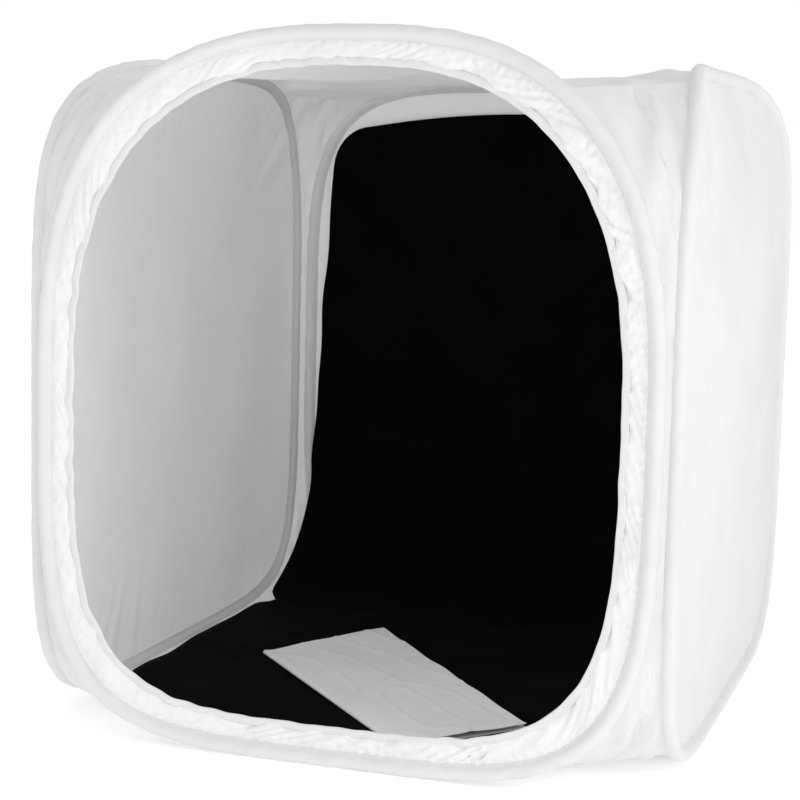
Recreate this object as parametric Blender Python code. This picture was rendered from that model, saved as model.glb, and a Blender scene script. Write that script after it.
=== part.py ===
"""Pop-up light tent: four spring-steel hoops in fabric casings, hinged at their vertical seams,
with fabric walls, top, floor, corner gussets and a black sweep hung inside.

Metres, +Z up. The open front faces -Y, and the tent stands on Z = 0.
"""

import math

import bpy
from mathutils import Vector

# Overall sizes
WIDTH = 0.548  # between the centre planes of the left and right hoops
DEPTH = 0.62  # between the centre planes of the front and back hoops
FRONT_HEIGHT = 0.600  # the front hoop has no wall to hold it down, so it stands a little taller
WALL_HEIGHT = 0.580  # left, right and back hoops
SEAM_HEIGHT = 0.300  # middle of the vertical seams, where the hoops come closest

# Outline of the hoops: each quarter is a superellipse, and a higher power is squarer
FRONT_TOP_POWER = 2.65
FRONT_LOW_POWER = 4.2
WALL_TOP_POWER = 4.2
WALL_LOW_POWER = 5.5
CROWN_BOW = 0.030  # how far the taut top pulls the middle of each hoop's crown inwards
QUARTER_STATIONS = 10  # segments along each quarter of a hoop

# Spring-steel band and the ferrule that joins its ends
BAND_THICKNESS = 0.0012
BAND_WIDTH = 0.0050
BAND_END_GAP = 0.0010
FERRULE_LENGTH = 0.030
FERRULE_WALL = 0.0005

# Fabric casing sewn round each band, open in a slit that the wall's edge enters
CASING_RADIUS = 0.0055
CASING_WALL = 0.0011
CASING_SIDES = 5
SLIT_HALF_ANGLE = math.radians(11)

# Fabric walls
CLOTH_THICKNESS = 0.0010
EDGE_INSET = 0.0042  # from the centre of the casing to the edge of the wall inside it
SIDE_BULGE = 0.012
BACK_BULGE = 0.004

# Front border and its opening
BORDER_WIDTH = 0.032
OPENING_TOP_POWER = 2.54
OPENING_LOW_POWER = 3.96
HEM_DEPTH = 0.008
HEM_THICKNESS = 0.0006

# Corners
SEAM_STATIONS = 1.5  # seam tape, up and down from SEAM_HEIGHT, in stations
GUSSET_TOP_STATIONS = 6
GUSSET_LOW_STATIONS = 7
GUSSET_THICKNESS = 0.0008

# Top and floor
TOP_CENTRE_HEIGHT = 0.566
FLOOR_HEIGHT = 0.0016  # underside of the flat part of the floor
FLOOR_FLAT_SHARE = 0.86

# Black sweep, hung on a strip of hook tape
SWEEP_TOP = 0.528
SWEEP_TOP_HALF_WIDTH = 0.222
SWEEP_FLOOR_HALF_WIDTH = 0.261
SWEEP_BEND_RADIUS = 0.140
SWEEP_THICKNESS = 0.0012
SWEEP_FRONT_MARGIN = 0.036  # from the front hoop's plane
SWEEP_CORNER_CLEARANCE = 2.16  # from the lower gussets, for each metre of the floor's rise there
SWEEP_SIDE_CLEARANCE = 0.005  # from the casings of the side hoops
SWEEP_TOP_CORNER = 0.044
SWEEP_LEVEL_SHARE = 0.894  # of the floor's rise at the lower corners, so that it clears the edge
TAPE_TOP = 0.518
TAPE_HEIGHT = 0.020
TAPE_HALF_WIDTH = 0.190
TAPE_THICKNESS = 0.0012

# White cloth lying folded on the sweep: corners as shares of the tent's width and of the
# sweep's flat run, from its front edge back
INSERT_FAR_LEFT = (-0.3102, 0.5450)
INSERT_FAR_RIGHT = (-0.1642, 0.8538)
INSERT_NEAR_RIGHT = (0.2464, 0.2316)
INSERT_NEAR_LEFT = (0.0876, 0.0046)
INSERT_THICKNESS = 0.0040
INSERT_SPANS = 6

FIT = 0.0003  # gap between pieces that touch
SEWN_GAP = 0.0004  # from a casing to the fabric sewn to it
SLOT_GAP = 0.0004  # along a seam, between one piece and the next

# A facet of the casing faces outwards, so the polygon stands outside the casing's circle
FACET_HALF = (math.pi - SLIT_HALF_ANGLE) / CASING_SIDES
CASING_REACH = CASING_RADIUS / math.cos(FACET_HALF)
SEAM_OFFSET = CASING_REACH + FIT / 2
HINGE_X = WIDTH / 2 - SEAM_OFFSET
HINGE_Y = DEPTH / 2 - SEAM_OFFSET

WHITE = (0.86, 0.87, 0.87)
WHITE_INSIDE = (0.80, 0.81, 0.82)
BLACK = (0.004, 0.004, 0.004)
STEEL = (0.55, 0.56, 0.58)


def clear_scene():
    for item in list(bpy.data.objects):
        bpy.data.objects.remove(item)


def material(name, colour, roughness, metallic=0.0):
    made = bpy.data.materials.new(name)
    made.use_nodes = True
    shader = made.node_tree.nodes["Principled BSDF"]
    shader.inputs["Base Color"].default_value = (*colour, 1.0)
    shader.inputs["Roughness"].default_value = roughness
    shader.inputs["Metallic"].default_value = metallic
    return made


def add_object(name, points, faces, look, origin=(0.0, 0.0, 0.0), smooth=True):
    """One closed mesh as a named object, whose origin is at the given place."""
    mesh = bpy.data.meshes.new(name)
    home = Vector(origin)
    mesh.from_pydata([Vector(p) - home for p in points], [], faces)
    mesh.materials.append(look)
    mesh.validate()
    if smooth:
        mesh.shade_smooth()
        mesh.set_sharp_from_angle(angle=math.radians(35))
    made = bpy.data.objects.new(name, mesh)
    made.location = home
    bpy.context.scene.collection.objects.link(made)
    return made


def quarter(half, rise, power):
    """Points of a superellipse quarter from (half, 0) to (0, rise), evenly spaced along it."""
    fine = 600
    dense = []
    for i in range(fine + 1):
        angle = math.pi / 2 * i / fine
        across = half * max(math.cos(angle), 0.0) ** (2 / power)
        up = rise * max(math.sin(angle), 0.0) ** (2 / power)
        dense.append((across, up))
    dense[-1] = (0.0, rise)
    lengths = [0.0]
    for one, two in zip(dense, dense[1:]):
        lengths.append(lengths[-1] + math.dist(one, two))
    points = [dense[0]]
    at = 0
    for k in range(1, QUARTER_STATIONS):
        wanted = lengths[-1] * k / QUARTER_STATIONS
        while lengths[at + 1] < wanted:
            at += 1
        share = (wanted - lengths[at]) / (lengths[at + 1] - lengths[at])
        one, two = dense[at], dense[at + 1]
        points.append(tuple(a + (b - a) * share for a, b in zip(one, two)))
    points.append(dense[-1])
    return points


class Outline:
    """A closed loop of stations: 0 is the +u seam, then the crown, the -u seam and the foot."""

    def __init__(self, half, top, low, top_power, low_power):
        upper = quarter(half, top - SEAM_HEIGHT, top_power)
        lower = quarter(half, SEAM_HEIGHT - low, low_power)
        self.points = [(u, SEAM_HEIGHT + v) for u, v in upper]
        self.points += [(-u, SEAM_HEIGHT + v) for u, v in reversed(upper[:-1])]
        self.points += [(-u, SEAM_HEIGHT - v) for u, v in lower[1:]]
        self.points += [(u, SEAM_HEIGHT - v) for u, v in reversed(lower[1:-1])]
        self.count = len(self.points)
        self.foot = 3 * QUARTER_STATIONS

    def at(self, station):
        """The point at a station, between two of them if it isn't whole."""
        whole = math.floor(station)
        share = station - whole
        one = self.points[whole % self.count]
        two = self.points[(whole + 1) % self.count]
        return tuple(a + (b - a) * share for a, b in zip(one, two))

    def normal(self, station):
        """Outwards in the plane of the loop."""
        before = self.at(station - 0.5)
        after = self.at(station + 0.5)
        du, dv = after[0] - before[0], after[1] - before[1]
        size = math.hypot(du, dv)
        return dv / size, -du / size

    def offset(self, station, outwards):
        u, z = self.at(station)
        nu, nz = self.normal(station)
        return u + nu * outwards, z + nz * outwards

    def half_at(self, z):
        """Half the loop's width at a height below the seams' middle."""
        points = self.points[-QUARTER_STATIONS:] + self.points[:1]
        for low, high in zip(points, points[1:]):
            if z <= high[1]:
                share = max(0.0, (z - low[1]) / (high[1] - low[1]))
                return low[0] + (high[0] - low[0]) * share
        return points[-1][0]

    def seam_station(self, end, climb):
        """The station that lies climb stations above the +u or -u seam, or below it."""
        return climb if end > 0 else 2 * QUARTER_STATIONS - climb


class Wall:
    """A side of the tent: u runs along it, a points out of the tent, z is up."""

    def __init__(self, name, along, outwards, distance, half, top, top_power, low_power):
        self.name = name
        self.along = Vector(along)
        self.outwards = Vector(outwards)
        self.distance = distance
        self.half = half
        self.top = top
        self.hoop = Outline(
            half, top - CASING_RADIUS, CASING_RADIUS, top_power, low_power
        )

    def bow(self, u, z):
        climb = max(0.0, (z - SEAM_HEIGHT) / (self.top - SEAM_HEIGHT))
        middle = max(0.0, 1 - (u / self.half) ** 2)
        return CROWN_BOW * climb**3 * middle

    def place(self, u, a, z):
        out = self.distance + a - self.bow(u, z)
        return self.along * u + self.outwards * out + Vector((0, 0, z))

    def centre(self, station):
        u, z = self.hoop.at(station)
        return self.place(u, 0.0, z)


FRONT_HALF = WIDTH / 2 - 2 * SEAM_OFFSET
SIDE_HALF = DEPTH / 2 - 2 * SEAM_OFFSET
WALL_POWERS = (WALL_TOP_POWER, WALL_LOW_POWER)
FRONT_POWERS = (FRONT_TOP_POWER, FRONT_LOW_POWER)
FRONT = Wall("front", (1, 0, 0), (0, -1, 0), DEPTH / 2, FRONT_HALF, FRONT_HEIGHT, *FRONT_POWERS)
RIGHT = Wall("right", (0, 1, 0), (1, 0, 0), WIDTH / 2, SIDE_HALF, WALL_HEIGHT, *WALL_POWERS)
BACK = Wall("back", (-1, 0, 0), (0, 1, 0), DEPTH / 2, FRONT_HALF, WALL_HEIGHT, *WALL_POWERS)
LEFT = Wall("left", (0, -1, 0), (-1, 0, 0), WIDTH / 2, SIDE_HALF, WALL_HEIGHT, *WALL_POWERS)
RING = (FRONT, RIGHT, BACK, LEFT)
HOMES = {
    "front": (0.0, 0.0, 0.0),
    "right": (HINGE_X, -HINGE_Y, 0.0),
    "back": (-HINGE_X, HINGE_Y, 0.0),
    "left": (-HINGE_X, -HINGE_Y, 0.0),
}


def swept(wall, outline, stations, section, closed):
    """A section, as (outwards, across) pairs, carried along an outline of the wall."""
    size = len(section)
    points = []
    for station in stations:
        for p, q in section:
            u, z = outline.offset(station, p)
            points.append(wall.place(u, q, z))
    faces = []
    rows = len(stations)
    for i in range(rows if closed else rows - 1):
        here, there = i * size, (i + 1) % rows * size
        for k in range(size):
            n = (k + 1) % size
            faces.append((here + k, there + k, there + n, here + n))
    if not closed:
        faces.append(tuple(range(size)))
        faces.append(tuple(reversed(range((rows - 1) * size, rows * size))))
    return points, faces


def rectangle(half_out, half_across):
    return [
        (half_out, -half_across),
        (half_out, half_across),
        (-half_out, half_across),
        (-half_out, -half_across),
    ]


def ring_stations(outline):
    return list(range(outline.count))


def make_band(wall, look):
    """The flat steel band, whose ends meet at the foot of the hoop, inside the ferrule."""
    hoop = wall.hoop
    foot = hoop.foot
    span = math.dist(hoop.at(foot), hoop.at(foot + 1))
    share = BAND_END_GAP / 2 / span
    stations = [foot + share]
    stations += [foot + k for k in range(1, hoop.count)]
    stations.append(foot + hoop.count - share)
    section = rectangle(BAND_THICKNESS / 2, BAND_WIDTH / 2)
    points, faces = swept(wall, hoop, stations, section, closed=False)
    add_object(wall.name + "_hoop_band", points, faces, look, HOMES[wall.name])


def make_ferrule(wall, look):
    """A flat sleeve crimped over both ends of the band."""
    hoop = wall.hoop
    foot = hoop.foot
    span = math.dist(hoop.at(foot), hoop.at(foot + 1))
    share = FERRULE_LENGTH / 2 / span
    stations = [foot - share, foot, foot + share]
    inner = rectangle(BAND_THICKNESS / 2 + FIT, BAND_WIDTH / 2 + FIT)
    wide = FIT + FERRULE_WALL
    outer = rectangle(BAND_THICKNESS / 2 + wide, BAND_WIDTH / 2 + wide)
    shell, shell_faces = swept(wall, hoop, stations, outer, closed=False)
    bore, bore_faces = swept(wall, hoop, stations, inner, closed=False)
    start = len(shell)
    faces = shell_faces[:-2]
    faces += [tuple(start + k for k in reversed(face)) for face in bore_faces[:-2]]
    last = (len(stations) - 1) * 4
    for k in range(4):
        n = (k + 1) % 4
        faces.append((k, n, start + n, start + k))
        faces.append((last + n, last + k, start + last + k, start + last + n))
    add_object(wall.name + "_hoop_ferrule", shell + bore, faces, look, HOMES[wall.name])


def casing_section():
    """A C whose slit faces into the hoop, drawn round the outside and back round the inside."""
    section = []
    for radius, turn in ((CASING_RADIUS, 1), (CASING_RADIUS - CASING_WALL, -1)):
        corner = radius / math.cos(FACET_HALF)
        for k in range(CASING_SIDES + 1):
            angle = turn * (2 * FACET_HALF * k - (math.pi - SLIT_HALF_ANGLE))
            section.append((corner * math.cos(angle), corner * math.sin(angle)))
    return section


def make_casing(wall, look):
    hoop = wall.hoop
    points, faces = swept(wall, hoop, ring_stations(hoop), casing_section(), closed=True)
    add_object(wall.name + "_hoop_casing", points, faces, look, HOMES[wall.name])


def layered(rows, offset):
    """A closed solid from a grid of points: rows of equal length, and an offset to the far skin.

    offset(i, k) is the vector from the near skin to the far one at that point.
    """
    high, wide = len(rows), len(rows[0])
    near = [p for row in rows for p in row]
    far = [p + offset(i, k) for i, row in enumerate(rows) for k, p in enumerate(row)]
    start = len(near)
    faces = []
    for i in range(high - 1):
        for k in range(wide - 1):
            a, b = i * wide + k, i * wide + k + 1
            c, d = b + wide, a + wide
            faces.append((a, d, c, b))
            faces.append((start + a, start + b, start + c, start + d))
    rim = [k for k in range(wide)]
    rim += [i * wide + wide - 1 for i in range(1, high)]
    rim += [(high - 1) * wide + k for k in range(wide - 2, -1, -1)]
    rim += [i * wide for i in range(high - 2, 0, -1)]
    for one, two in zip(rim, rim[1:] + rim[:1]):
        faces.append((one, two, start + two, start + one))
    return near + far, faces


def disc(loops, centre, offset):
    """A closed solid from nested loops round a centre point, thick by the offset vector."""
    count = len(loops[0])
    near = [p for loop in loops for p in loop] + [centre]
    far = [p + offset for p in near]
    start = len(near)
    middle = start - 1
    faces = []
    for i in range(len(loops) - 1):
        for k in range(count):
            n = (k + 1) % count
            a, b = i * count + k, i * count + n
            c, d = b + count, a + count
            faces.append((a, d, c, b))
            faces.append((start + a, start + b, start + c, start + d))
    last = (len(loops) - 1) * count
    for k in range(count):
        n = (k + 1) % count
        faces.append((last + k, middle, last + n))
        faces.append((start + last + k, start + last + n, start + middle))
        faces.append((k, n, start + n, start + k))
    return near + far, faces


def make_panel(wall, bulge, look):
    """A fabric wall whose edge lies in the casing and whose middle bulges outwards."""
    hoop = wall.hoop
    edge = [hoop.offset(s, -EDGE_INSET) for s in ring_stations(hoop)]
    loops = []
    for share in (1.0, 0.82, 0.55, 0.25):
        out = bulge * (1 - share**2) - CLOTH_THICKNESS / 2
        loop = []
        for u, z in edge:
            loop.append(wall.place(u * share, out, SEAM_HEIGHT + (z - SEAM_HEIGHT) * share))
        loops.append(loop)
    centre = wall.place(0.0, bulge - CLOTH_THICKNESS / 2, SEAM_HEIGHT)
    points, faces = disc(loops, centre, wall.outwards * CLOTH_THICKNESS)
    add_object(wall.name + "_wall", points, faces, look, HOMES[wall.name])


def opening_outline():
    """The edge of the front border, round the opening."""
    return Outline(
        FRONT_HALF + CASING_RADIUS - BORDER_WIDTH,
        FRONT_HEIGHT - BORDER_WIDTH,
        BORDER_WIDTH,
        OPENING_TOP_POWER,
        OPENING_LOW_POWER,
    )


def make_border(look):
    hoop, opening = FRONT.hoop, opening_outline()
    half = CLOTH_THICKNESS / 2
    points = []
    for station in ring_stations(hoop):
        across = (
            hoop.offset(station, -EDGE_INSET),
            opening.offset(station, HEM_DEPTH),
            opening.offset(station, FIT),
        )
        points += [FRONT.place(u, -half, z) for u, z in across]
        points += [FRONT.place(u, half, z) for u, z in reversed(across)]
    faces = []
    size = 6
    for i in range(hoop.count):
        here, there = i * size, (i + 1) % hoop.count * size
        for k in range(size):
            n = (k + 1) % size
            faces.append((here + k, here + n, there + n, there + k))
    add_object("front_border", points, faces, look)


def make_hem(look):
    """Binding folded over the border's edge, round the opening."""
    opening = opening_outline()
    clear = CLOTH_THICKNESS / 2 + FIT
    full = clear + HEM_THICKNESS
    section = [
        (HEM_DEPTH, -full),
        (HEM_DEPTH, -clear),
        (-FIT, -clear),
        (-FIT, clear),
        (HEM_DEPTH, clear),
        (HEM_DEPTH, full),
        (-FIT - HEM_THICKNESS, full),
        (-FIT - HEM_THICKNESS, -full),
    ]
    points, faces = swept(FRONT, opening, ring_stations(opening), section, closed=True)
    add_object("opening_hem", points, faces, look)


def clear_of_casing(wall, station, way):
    """How far to go from a hoop's centre line, along a direction, to be clear of its casing."""
    run = (wall.centre(station + 0.5) - wall.centre(station - 0.5)).normalized()
    return (CASING_REACH + SEWN_GAP) / way.cross(run).length


def corner_line(one, two, climb):
    """The ends of the line of fabric from the +u end of one wall to the -u end of the next."""
    start_at = one.hoop.seam_station(1, climb)
    end_at = two.hoop.seam_station(-1, climb)
    start, end = one.centre(start_at), two.centre(end_at)
    way = (end - start).normalized()
    first = way * clear_of_casing(one, start_at, way)
    last = way * clear_of_casing(two, end_at, way)
    return start + first, end - last


def make_web(name, one, two, climbs, look, home):
    """A strip of fabric across a corner of the tent, from one casing to the next."""
    lines = [corner_line(one, two, climb) for climb in climbs]
    shifts = []
    for i, (start, end) in enumerate(lines):
        below, above = lines[max(i - 1, 0)], lines[min(i + 1, len(lines) - 1)]
        run = (above[0] + above[1]) - (below[0] + below[1])
        shifts.append((end - start).cross(run).normalized() * GUSSET_THICKNESS)
    rows = []
    for (start, end), shift in zip(lines, shifts):
        rows.append([start - shift / 2, end - shift / 2])
    points, faces = layered(rows, lambda i, k: shifts[i])
    add_object(name, points, faces, look, home)


def station_gap(wall):
    """SLOT_GAP as a share of a station's length on that wall."""
    return SLOT_GAP / math.dist(wall.hoop.at(0), wall.hoop.at(1))


def make_corners(look, tape_look):
    """Seam tapes where the hoops meet, and gussets above and below them."""
    names = ("front_right", "back_right", "back_left", "front_left")
    for i, name in enumerate(names):
        one, two = RING[i], RING[(i + 1) % len(RING)]
        home = (
            HINGE_X * (1 if "right" in name else -1),
            HINGE_Y * (1 if "back" in name else -1),
            0.0,
        )
        away = station_gap(one)
        tape = [-SEAM_STATIONS, -1, 0, 1, SEAM_STATIONS]
        make_web(name + "_seam_tape", one, two, tape, tape_look, home)
        first = SEAM_STATIONS + away
        upper = [first] + list(range(math.ceil(first), GUSSET_TOP_STATIONS + 1))
        lower = [-first] + [-k for k in range(math.ceil(first), GUSSET_LOW_STATIONS + 1)]
        make_web(name + "_top_gusset", one, two, upper, look, home)
        make_web(name + "_floor_gusset", one, two, lower[::-1], look, home)


def rim_points(climb, sign):
    """The edge of the top (sign 1) or the floor (sign -1), seen as a loop from above."""
    points = []
    inset = CASING_REACH + SEWN_GAP
    steps = QUARTER_STATIONS - climb
    for i, wall in enumerate(RING):
        before, after = RING[i - 1], RING[(i + 1) % len(RING)]
        count = 2 * steps
        for k in range(count + 1):
            if k == 0 or k == count:
                pair = (before, wall) if k == 0 else (wall, after)
                start, end = corner_line(*pair, sign * climb)
                middle = (start + end) / 2
                inwards = -Vector((middle.x, middle.y, 0.0)).normalized()
                sewn = end if k == 0 else start
                away = (end - start).normalized() * (-1 if k == 0 else 1)
                points.append(sewn + away * SLOT_GAP * 2 + inwards * SLOT_GAP * 4)
                continue
            climbed = climb + k if k <= steps else climb + count - k
            end = -1 if k <= steps else 1
            u, z = wall.hoop.at(wall.hoop.seam_station(end, sign * climbed))
            points.append(wall.place(u, -inset, z))
    return points


def shrunk(loop, share, height):
    """The loop drawn in towards the middle of the tent, with each height set by height(z)."""
    return [Vector((p.x * share, p.y * share, height(p.z))) for p in loop]


def make_top(look):
    rim = rim_points(GUSSET_TOP_STATIONS, 1)
    loops = [rim]
    for share in (0.88, 0.66, 0.36):
        weight = share**2

        def height(z, weight=weight):
            return TOP_CENTRE_HEIGHT + (z - TOP_CENTRE_HEIGHT) * weight

        loops.append(shrunk(rim, share, height))
    thick = Vector((0, 0, CLOTH_THICKNESS))
    loops = [[p - thick / 2 for p in loop] for loop in loops]
    centre = Vector((0, 0, TOP_CENTRE_HEIGHT)) - thick / 2
    points, faces = disc(loops, centre, thick)
    add_object("top_panel", points, faces, look)


def make_floor(look):
    rim = rim_points(GUSSET_LOW_STATIONS, -1)
    flat = FLOOR_HEIGHT
    thick = Vector((0, 0, CLOTH_THICKNESS))
    loops = [[p - thick / 2 for p in rim]]
    for share in (FLOOR_FLAT_SHARE, 0.45):
        loops.append(shrunk(rim, share, lambda z: flat))
    points, faces = disc(loops, Vector((0, 0, flat)), thick)
    add_object("floor_panel", points, faces, look)


def tape_depth(layer):
    """How far inside the back wall's middle plane a layer of tape starts."""
    return CLOTH_THICKNESS / 2 + FIT + layer * (TAPE_THICKNESS + FIT)


def make_tape(name, layer, look):
    spans = 8
    rows = []
    for i in range(3):
        z = TAPE_TOP - TAPE_HEIGHT * (1 - i / 2)
        row = []
        for k in range(spans + 1):
            u = TAPE_HALF_WIDTH * (2 * k / spans - 1)
            row.append(BACK.place(u, -tape_depth(layer), z))
        rows.append(row)
    inwards = BACK.outwards * -TAPE_THICKNESS
    points, faces = layered(rows, lambda i, k: inwards)
    faces = [tuple(reversed(face)) for face in faces]
    add_object(name, points, faces, look, HOMES["back"])


def corner_rise():
    """How high the floor's edge stands at the lower corners."""
    return RIGHT.hoop.at(RIGHT.hoop.seam_station(1, -GUSSET_LOW_STATIONS))[1]


def sweep_limit(y, z):
    """Half the width that the gussets across the lower corners leave for the sweep."""
    end = FRONT if y < 0 else BACK
    rim = corner_rise()
    level = min(max(z, rim), SEAM_HEIGHT)
    across = end.hoop.half_at(level)
    along = RIGHT.hoop.half_at(level)
    if abs(y) <= along:
        return WIDTH / 2 - CASING_REACH - SWEEP_SIDE_CLEARANCE
    share = (abs(y) - along) / (DEPTH / 2 - along)
    return WIDTH / 2 + (across - WIDTH / 2) * share - SWEEP_CORNER_CLEARANCE * rim


def sweep_profile():
    """(y, z, sag, half width) rows of the sweep's near skin, from its front edge to its top.

    sag is the share of the back wall's bow that the row follows.
    """
    front = -DEPTH / 2 + SWEEP_FRONT_MARGIN
    level = SWEEP_LEVEL_SHARE * corner_rise()
    hang = DEPTH / 2 - tape_depth(2)
    bend = hang - SWEEP_BEND_RADIUS
    narrow = SWEEP_FLOOR_HALF_WIDTH - SWEEP_TOP_HALF_WIDTH
    rows = []
    front_rows = 5
    for k in range(front_rows):
        y = front + (RIGHT.half + front) * k / (front_rows - 1)
        rows.append((y, level, 0.0, SWEEP_FLOOR_HALF_WIDTH))
    middle = (rows[-1][0] + bend) / 2
    rows.append((middle, level, 0.0, SWEEP_FLOOR_HALF_WIDTH))
    rows.append((bend, level, 0.0, SWEEP_FLOOR_HALF_WIDTH))
    bend_rows = 8
    foot = level + SWEEP_BEND_RADIUS
    for k in range(1, bend_rows + 1):
        turn = math.pi / 2 * k / bend_rows
        y = bend + SWEEP_BEND_RADIUS * math.sin(turn)
        z = foot - SWEEP_BEND_RADIUS * math.cos(turn)
        half = SWEEP_FLOOR_HALF_WIDTH - narrow * (z - level) / (SWEEP_TOP - level)
        rows.append((y, z, k / bend_rows, half))
    tape_foot = TAPE_TOP - TAPE_HEIGHT
    hung_rows = 3
    for k in range(1, hung_rows + 1):
        z = foot + (tape_foot - foot) * k / hung_rows
        half = SWEEP_FLOOR_HALF_WIDTH - narrow * (z - level) / (SWEEP_TOP - level)
        rows.append((hang, z, 1.0, half))
    top_rows = 4
    for k in range(1, top_rows + 1):
        turn = math.pi / 2 * k / top_rows
        z = SWEEP_TOP - SWEEP_TOP_CORNER * (1 - math.sin(turn))
        inset = SWEEP_TOP_CORNER * (1 - math.cos(turn))
        rows.append((hang, z, 1.0, SWEEP_TOP_HALF_WIDTH - inset))
    return [(y, z, sag, min(half, sweep_limit(y, z))) for y, z, sag, half in rows]


def make_sweep(look):
    spans = 8
    profile = sweep_profile()
    tape_foot = TAPE_TOP - TAPE_HEIGHT
    grid = []
    for y, z, share, half in profile:
        row = []
        for k in range(spans + 1):
            x = half * (2 * k / spans - 1)
            bow = BACK.bow(-x, max(z, tape_foot)) * share
            row.append(Vector((x, y - bow, z)))
        grid.append(row)
    shifts = []
    for i, (y, z, _, _) in enumerate(profile):
        before, after = profile[max(i - 1, 0)], profile[min(i + 1, len(profile) - 1)]
        run = Vector((0, after[0] - before[0], after[1] - before[1])).normalized()
        shifts.append(Vector((0, -run.z, run.y)) * SWEEP_THICKNESS)
    points, faces = layered(grid, lambda i, k: shifts[i])
    add_object("backdrop_sweep", points, faces, look, HOMES["back"])


def make_insert(look):
    """The white cloth, folded to a strip that lies flat on the sweep."""
    level = SWEEP_LEVEL_SHARE * corner_rise() + SWEEP_THICKNESS + FIT
    front = -DEPTH / 2 + SWEEP_FRONT_MARGIN
    run = DEPTH / 2 - tape_depth(2) - SWEEP_BEND_RADIUS - front

    def corner(across, back):
        return Vector((WIDTH * across, front + run * back, level))

    far = corner(*INSERT_FAR_LEFT), corner(*INSERT_FAR_RIGHT)
    near = corner(*INSERT_NEAR_LEFT), corner(*INSERT_NEAR_RIGHT)
    rows = []
    for i in range(INSERT_SPANS + 1):
        share = i / INSERT_SPANS
        left = near[0].lerp(far[0], share)
        right = near[1].lerp(far[1], share)
        rows.append([left, left.lerp(right, 0.5), right])
    points, faces = layered(rows, lambda i, k: Vector((0, 0, INSERT_THICKNESS)))
    add_object("white_insert_cloth", points, faces, look)


def main():
    clear_scene()
    fabric = material("white_fabric", WHITE, 0.75)
    inside = material("white_diffuser", WHITE_INSIDE, 0.80)
    binding = material("white_binding", WHITE, 0.65)
    tape = material("white_tape", WHITE_INSIDE, 0.70)
    hook = material("hook_tape", WHITE_INSIDE, 0.60)
    loop = material("loop_tape", BLACK, 0.95)
    velvet = material("black_fabric", BLACK, 0.95)
    cotton = material("white_cloth", WHITE, 0.85)
    steel = material("spring_steel", STEEL, 0.35, 1.0)
    zinc = material("zinc_ferrule", STEEL, 0.50, 1.0)
    for wall in RING:
        make_band(wall, steel)
        make_ferrule(wall, zinc)
        make_casing(wall, binding)
    make_border(fabric)
    make_hem(binding)
    make_panel(RIGHT, SIDE_BULGE, inside)
    make_panel(LEFT, SIDE_BULGE, inside)
    make_panel(BACK, BACK_BULGE, inside)
    make_corners(inside, tape)
    make_top(inside)
    make_floor(fabric)
    make_tape("hook_tape", 0, hook)
    make_tape("backdrop_loop_tape", 1, loop)
    make_sweep(velvet)
    make_insert(cotton)


main()
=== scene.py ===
import math

import bpy
import numpy as np
from mathutils import Matrix, Vector


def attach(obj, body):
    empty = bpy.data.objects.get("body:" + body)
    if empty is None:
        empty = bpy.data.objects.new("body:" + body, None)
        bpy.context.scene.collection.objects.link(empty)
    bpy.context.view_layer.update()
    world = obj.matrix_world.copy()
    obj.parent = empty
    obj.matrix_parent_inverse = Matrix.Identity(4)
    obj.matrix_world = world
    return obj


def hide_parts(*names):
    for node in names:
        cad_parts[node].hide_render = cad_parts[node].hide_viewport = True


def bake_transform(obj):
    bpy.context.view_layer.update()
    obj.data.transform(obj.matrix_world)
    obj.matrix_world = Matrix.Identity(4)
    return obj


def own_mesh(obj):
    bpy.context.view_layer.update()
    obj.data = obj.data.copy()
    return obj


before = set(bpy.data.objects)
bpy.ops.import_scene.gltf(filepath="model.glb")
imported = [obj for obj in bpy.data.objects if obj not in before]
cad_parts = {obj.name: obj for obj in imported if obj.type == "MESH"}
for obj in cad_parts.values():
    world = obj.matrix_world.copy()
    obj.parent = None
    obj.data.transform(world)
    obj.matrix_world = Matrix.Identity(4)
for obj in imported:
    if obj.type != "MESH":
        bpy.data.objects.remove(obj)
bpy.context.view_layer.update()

# Sizes of the tent, as in the CAD unless a comment says otherwise
WIDTH = 0.548
DEPTH = 0.62
FRONT_HEIGHT = 0.600
WALL_HEIGHT = 0.580
SEAM_HEIGHT = 0.300
FRONT_POWERS = (2.65, 4.2)
WALL_POWERS = (4.2, 5.5)
CROWN_BOW = 0.030
QUARTER = 10  # stations along each quarter of a hoop
LOOP = 4 * QUARTER
CASING_RADIUS = 0.0055
CASING_REACH = 0.00662
FIT = 0.0003
CLOTH_INSET = 0.0040  # from a casing's centre to the edge of the wall's cloth inside it
STITCH_INSET = 0.0074  # rows of stitches, inwards from a hoop
STITCH_RISE = 0.0008
HEM_STITCH_INSET = 0.0040  # and from the edge of the opening
HEM_STITCH_RISE = 0.0012
SEAM_OFFSET = CASING_REACH + FIT / 2
HINGE_X = WIDTH / 2 - SEAM_OFFSET
HINGE_Y = DEPTH / 2 - SEAM_OFFSET
FRONT_HALF = WIDTH / 2 - 2 * SEAM_OFFSET
SIDE_HALF = DEPTH / 2 - 2 * SEAM_OFFSET
SIDE_BULGE = 0.012
BACK_BULGE = 0.004
BORDER_WIDTH = 0.032
OPENING_POWERS = (2.54, 3.96)
SEAM_STATIONS = 1.5
GUSSET_TOP_STATIONS = 6
GUSSET_LOW_STATIONS = 7
TOP_CENTRE_HEIGHT = 0.566
FLOOR_HEIGHT = 0.0016
FLOOR_FLAT_SHARE = 0.86
SWEEP_TOP = 0.528
SWEEP_TOP_HALF_WIDTH = 0.230  # a little wider than in the CAD
SWEEP_FLOOR_HALF_WIDTH = 0.261
SWEEP_BEND_RADIUS = 0.140
SWEEP_THICKNESS = 0.0012
SWEEP_CORNER_CLEARANCE = 0.010  # a little less than in the CAD
SWEEP_SIDE_CLEARANCE = 0.005
SWEEP_HANG = 0.0036  # from the back hoop's plane in to the sweep
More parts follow.
